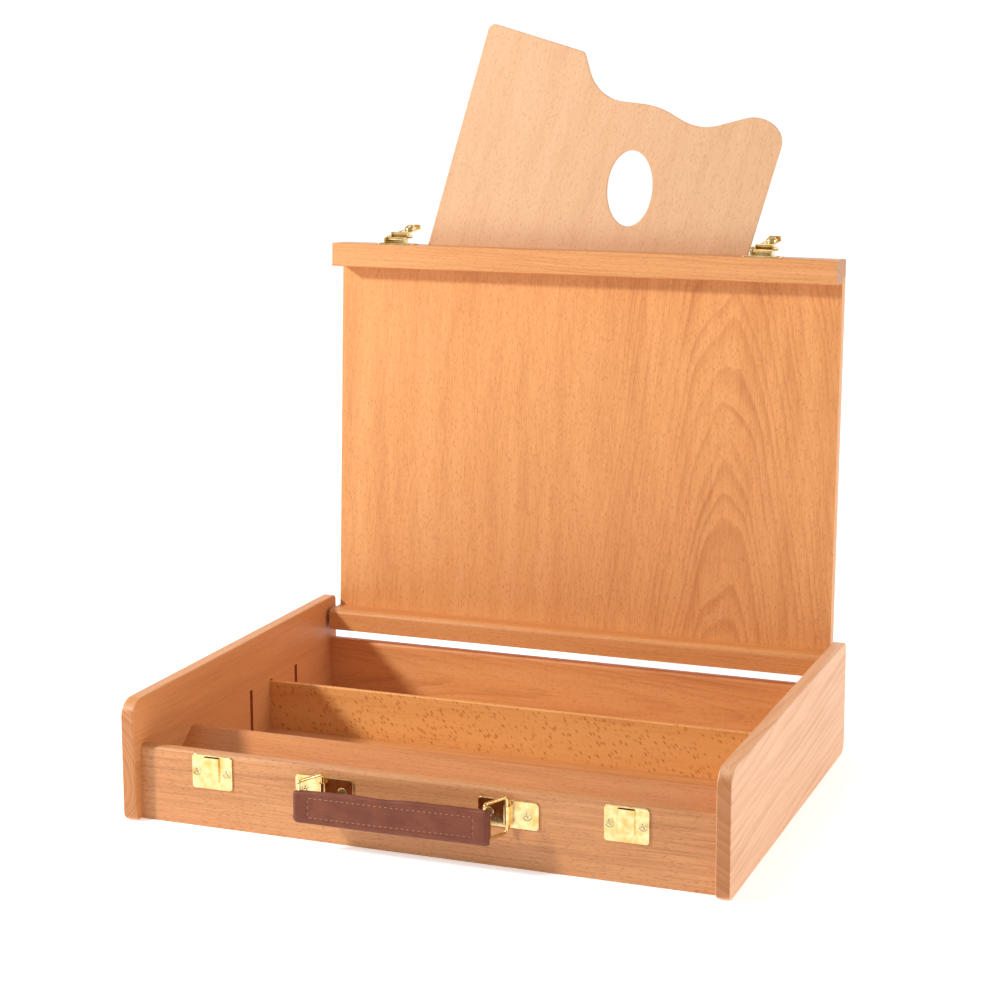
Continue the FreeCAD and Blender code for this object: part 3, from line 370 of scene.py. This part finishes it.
def buildStrap():
    # section: a rounded rectangle with crowned faces, y = cos^0.6 and z = sin^0.5 of the angle,
    # carried along the bowed, leaning line; a groove follows the seam's rectangle, and a slot
    # behind each end clears the wire
    length = strapEnds[1] - strapEnds[0]
    half = np.concatenate([np.linspace(0, 0.006, 26), np.linspace(0.006, 0.017, 24)[1:],
                           np.linspace(0.017, length / 2, 60)[1:]])   # finer at the folded ends
    x = np.concatenate([strapEnds[0] + half, (strapEnds[1] - half)[-2::-1]])
    fromEnd = np.minimum(x - strapEnds[0], strapEnds[1] - x)
    around = 150
    angle = np.linspace(0, 2 * math.pi, around, endpoint=False)
    c, d = np.cos(angle), np.sin(angle)
    up = np.sign(d) * np.abs(d) ** 0.5
    out = np.sign(c) * np.abs(c) ** 0.6
    halfHigh = strapHalfHeight(x)
    corner = np.clip(fromEnd / strap["endRadius"], 0, 1)
    high = halfHigh - strap["endRadius"] * 0.6 * (1 - np.sqrt(1 - (1 - corner) ** 2))
    # the top edge wavers as two sines, 58 and 33 mm long
    uneven = strap["wave"] * (np.sin(x / 0.0092) + 0.6 * np.sin(x / 0.0053 + 1.0)) / 1.6
    local = high[:, None] * up[None, :]
    local = local + np.where(up > 0, up, 0)[None, :] * (uneven - strap["wave"])[:, None]
    z = strapRise(x)[:, None] + local
    offset = strapHalfThickness(x)[:, None] * out[None, :]
    # seam groove on the front and back faces
    fromSide = halfHigh[:, None] - np.abs(local)
    width = strap["seamWidth"]
    longRuns = np.exp(-((fromSide - strap["seamInset"]) / width) ** 2) * (
        fromEnd[:, None] > strap["seamEnd"] - width)
    crossRuns = np.exp(-((fromEnd[:, None] - strap["seamEnd"]) / width) ** 2) * (
        fromSide > strap["seamInset"] - width)
    groove = np.maximum(longRuns, crossRuns) * strap["seamDepth"]
    offset = offset - np.sign(offset) * np.minimum(groove, np.abs(offset) * 0.5)
    # slots: behind the wire's line the hide is pulled in to just clear the wire
    # the slot's height and length fade out as logistic curves
    low = 1 / (1 + np.exp((np.abs(z - strap["wireHeight"]) - strap["slotHalfHeight"])
                           / strap["slotFade"][0]))
    near = 1 / (1 + np.exp((fromEnd[:, None] - strap["slotLength"]) / strap["slotFade"][1]))
    slot = low * near
    clear = -wireRadius - strap["slotClearance"]
    offset = np.where(offset > clear, offset * (1 - slot) + np.minimum(offset, clear) * slot,
                      offset)
    points = np.stack([np.broadcast_to(x[:, None], z.shape), strapMiddle(x)[:, None] + offset, z],
                      -1)
    mesh = gridMesh("leather_strap", points, loopV=True)
    return closedPiece("leather_strap", mesh, points)


def closedPiece(name, mesh, points):
    # closes each open end of a lofted tube with one face, and makes the faces point outwards
    work = bmesh.new()
    work.from_mesh(mesh)
    work.verts.ensure_lookup_table()
    columns = points.shape[1]
    for start in (0, (points.shape[0] - 1) * columns):
        work.faces.new([work.verts[start + k] for k in range(columns)])
    bmesh.ops.recalc_face_normals(work, faces=work.faces)
    work.to_mesh(mesh)
    work.free()
    mesh.polygons.foreach_set("use_smooth", [True] * len(mesh.polygons))
    piece = bpy.data.objects.new(name, mesh)
    bpy.context.scene.collection.objects.link(piece)
    return piece


def seamSpots():
    # middles and directions of the stitches round the seam's rectangle, front and back
    left, right = strapEnds[0] + strap["seamEnd"], strapEnds[1] - strap["seamEnd"]
    high = min(strap["heights"]) / 2 - strap["seamInset"]
    pitch = strap["stitch"] + strap["stitchGap"]
    spots = []
    for z in (-high, high):
        number = int((right - left) / pitch)
        for x in left + (np.arange(number) + 0.5) * (right - left) / number:
            spots.append((x, z, 0.0))
    for x in (left, right):
        number = int(2 * high / pitch)
        for z in -high + (np.arange(number) + 0.5) * 2 * high / number:
            spots.append((x, z, math.pi / 2))
    return np.array(spots)


def buildStitches():
    # each stitch: a tube whose ends dip into the hide, its axis lowered by 1.6 * radius * t^2,
    # t from -1 to 1 along the stitch
    spots = seamSpots()
    around, along = 6, 5
    t = np.linspace(-1, 1, along)
    angle = np.linspace(0, 2 * math.pi, around, endpoint=False)
    radius = strap["threadRadius"] * (1 - 0.35 * t ** 4)
    run = np.broadcast_to((t * strap["stitch"] / 2)[:, None], (along, around))
    side = radius[:, None] * np.cos(angle)[None, :]
    rise = radius[:, None] * np.sin(angle)[None, :] - (
        strap["threadRadius"] * 1.6 * t ** 2)[:, None]
    vertices, faces = [], []
    a = np.arange(along - 1)[:, None] * around
    b = np.arange(around)[None, :]
    quads = np.stack([a + b, a + (b + 1) % around, a + around + (b + 1) % around,
                      a + around + b], -1).reshape(-1, 4)
    for face in (-1, 1):
        for x, z, turn in spots:
            dx = run * math.cos(turn) - side * math.sin(turn)
            dz = run * math.sin(turn) + side * math.cos(turn)
            skin = strapHalfThickness(x + dx) * 0.985 - strap["seamDepth"]
            y = strapMiddle(x + dx) + face * (skin + rise + strap["threadRadius"] * 0.5)
            start = len(vertices) * along * around
            vertices.append(np.stack([x + dx, y, strapRise(x + dx) + z + dz], -1).reshape(-1, 3))
            order = quads if face < 0 else quads[:, ::-1]
            faces += (order + start).tolist()
            faces.append([start + k for k in range(around)][::face])
            faces.append([start + (along - 1) * around + k for k in range(around)][::-face])
    mesh = bpy.data.meshes.new("strap_stitching")
    mesh.from_pydata(np.concatenate(vertices).tolist(), [], faces)
    mesh.polygons.foreach_set("use_smooth", [True] * len(mesh.polygons))
    piece = bpy.data.objects.new("strap_stitching", mesh)
    bpy.context.scene.collection.objects.link(piece)
    return piece


# Chrome-tanned cowhide, smooth finished: reddish brown, fine pebbled grain about 0.8 mm across,
# a low sheen, a little darker where hands and folds work it.
def leather():
    material, tree = newMaterial("cowhide, chrome-tanned, smooth finished")
    place = add(tree, "TexCoord")
    pebble = add(tree, "TexVoronoi", {"Vector": place.outputs["Object"], "Scale": metre / 0.8,
                                      "Smoothness": 0.6}, feature="SMOOTH_F1")
    cloud = add(tree, "TexNoise", {"Vector": place.outputs["Object"], "Scale": metre / 14,
                                   "Detail": 3.0})
    stretch = add(tree, "Mapping", {"Vector": place.outputs["Object"],
                                    "Scale": (metre / 9, metre / 1.5, metre / 1.5)})
    crease = add(tree, "TexNoise", {"Vector": stretch.outputs[0], "Scale": 1.0, "Detail": 4.0,
                                    "Roughness": 0.6})
    tone = add(tree, "ValToRGB", {0: cloud.outputs[0]},
               stops=((0.25, "#6B311B"), (0.5, "#793B21"), (0.8, "#884729")))
    worn = add(tree, "MapRange", {0: crease.outputs[0], 1: 0.3, 2: 0.7, 3: 0.0, 4: 0.4})
    colour = add(tree, "Mix", {"Factor": worn.outputs[0], 6: tone.outputs[0],
                               7: linear("#5E2C20")}, data_type="RGBA")
    height = add(tree, "Math", {0: crease.outputs[0], 1: 0.8, 2: pebble.outputs["Distance"]},
                 operation="MULTIPLY_ADD")
    bump = add(tree, "Bump", {"Height": height.outputs[0], "Strength": 0.35,
                              "Distance": 0.00025})
    gloss = add(tree, "MapRange", {0: crease.outputs[0], 1: 0.3, 2: 0.7, 3: 0.42, 4: 0.58})
    finishShader(tree, {"Base Color": colour.outputs[2], "Roughness": gloss.outputs[0],
                        "Normal": bump.outputs[0], "IOR": 1.42})
    return material


# Waxed polyester thread, two-ply: pale tan, dull, with its ply just seen as a slanted ribbing.
def thread():
    material, tree = newMaterial("thread, polyester, waxed")
    place = add(tree, "TexCoord")
    plyAndGrooveShade = add(tree, "TexWave", {"Vector": place.outputs["Object"], "Scale": metre / 3.2,
                                "Distortion": 0.0}, bands_direction="DIAGONAL")
    # painted shade: the colour follows the ribbing's height, darker in its low grooves
    tone = add(tree, "ValToRGB", {0: plyAndGrooveShade.outputs[0]}, stops=((0, "#9C6A50"), (1, "#BC8E6E")))
    bump = add(tree, "Bump", {"Height": plyAndGrooveShade.outputs[0], "Strength": 0.3, "Distance": 0.0001})
    finishShader(tree, {"Base Color": tone.outputs[0], "Roughness": 0.6,
                        "Normal": bump.outputs[0]})
    return material


def makeHandle():
    hide = buildStrap()
    hide.data.materials.append(leather())
    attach(hide, "strap")
    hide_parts("handle_strap")
    seam = buildStitches()
    seam.data.materials.append(thread())
    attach(seam, "strap")
    print("handle made")


room = {"floorHalf": 30.0, "front": -9.0, "back": 3.2, "rise": 1.2, "height": 5.0,
        "colour": "#FAFAFA", "glow": 0.42}   # a backdrop lit from behind


def makeRoom():
    # floor, a quarter round and a wall in one sheet: y and z follow the line, x runs across
    turn = np.linspace(0, math.pi / 2, 24)
    y = np.concatenate([[room["front"]], room["back"] + room["rise"] * np.sin(turn),
                        [room["back"] + room["rise"]]])
    z = np.concatenate([[0.0], room["rise"] * (1 - np.cos(turn)), [room["height"]]])
    x = np.array([-room["floorHalf"], room["floorHalf"]])
    points = np.stack([np.broadcast_to(x[:, None], (2, len(y))),
                       np.broadcast_to(y, (2, len(y))), np.broadcast_to(z, (2, len(y)))], -1)
    mesh = gridMesh("floor", points)
    mesh.polygons.foreach_set("use_smooth", [True] * len(mesh.polygons))
    floor = bpy.data.objects.new("floor", mesh)
    bpy.context.scene.collection.objects.link(floor)
    material, tree = newMaterial("floor, matt white paint")
    finishShader(tree, {"Base Color": linear(room["colour"]), "Roughness": 0.9,
                        "Emission Color": (1, 1, 1, 1), "Emission Strength": room["glow"]})
    mesh.materials.append(material)
    floor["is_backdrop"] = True


lampAim = 0, 0.16, 0.18
lamps = {   # name: place, size, watts; all aim at the box's middle
    "key": ((-1.15, -0.75, 1.0), 0.2, 22),
    "fill": ((2.4, 0.35, 0.9), 1.0, 18),
    "top": ((-0.6, 0.3, 2.6), 1.0, 7),
}
worldLight = 0.42


def makeLight():
    middle = Vector(lampAim)
    for name, (place, width, power) in lamps.items():
        data = bpy.data.lights.new(name, "AREA")
        data.energy, data.size, data.shape = power, width, "DISK"
        lamp = bpy.data.objects.new(name, data)
        lamp.location = place
        lamp.rotation_euler = (middle - Vector(place)).to_track_quat("-Z", "Y").to_euler()
        bpy.context.scene.collection.objects.link(lamp)
    world = bpy.data.worlds.new("studio")
    world.use_nodes = True
    sky = world.node_tree.nodes["Background"]
    sky.inputs["Color"].default_value = (1, 1, 1, 1)
    sky.inputs["Strength"].default_value = worldLight
    bpy.context.scene.world = world
    bpy.context.scene.view_settings.view_transform = "Standard"


view = {"place": (0.5739, -1.31265, 0.5394), "yaw": 20.04, "pitch": -9.44, "roll": -0.06,
        "lens": 80.1, "sensor": 36, "shift": (-0.0534, -0.0889)}   # degrees, mm


def makeCamera():
    data = bpy.data.cameras.new("camera")
    data.lens, data.sensor_width = view["lens"], view["sensor"]
    data.shift_x, data.shift_y = view["shift"]
    camera = bpy.data.objects.new("camera", data)
    camera.location = view["place"]
    camera.rotation_euler = [math.radians(a) for a in (90 + view["pitch"], view["roll"],
                                                       view["yaw"])]
    bpy.context.scene.collection.objects.link(camera)
    bpy.context.scene.camera = camera


makeCamera()
makeRoom()
makeLight()
dressWood()
dressMetal()
makeHandle()

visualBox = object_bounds()
({"cad": [list(corner) for corner in cadBox],
           "visual": [list(corner) for corner in visualBox]})
print("all pieces placed")
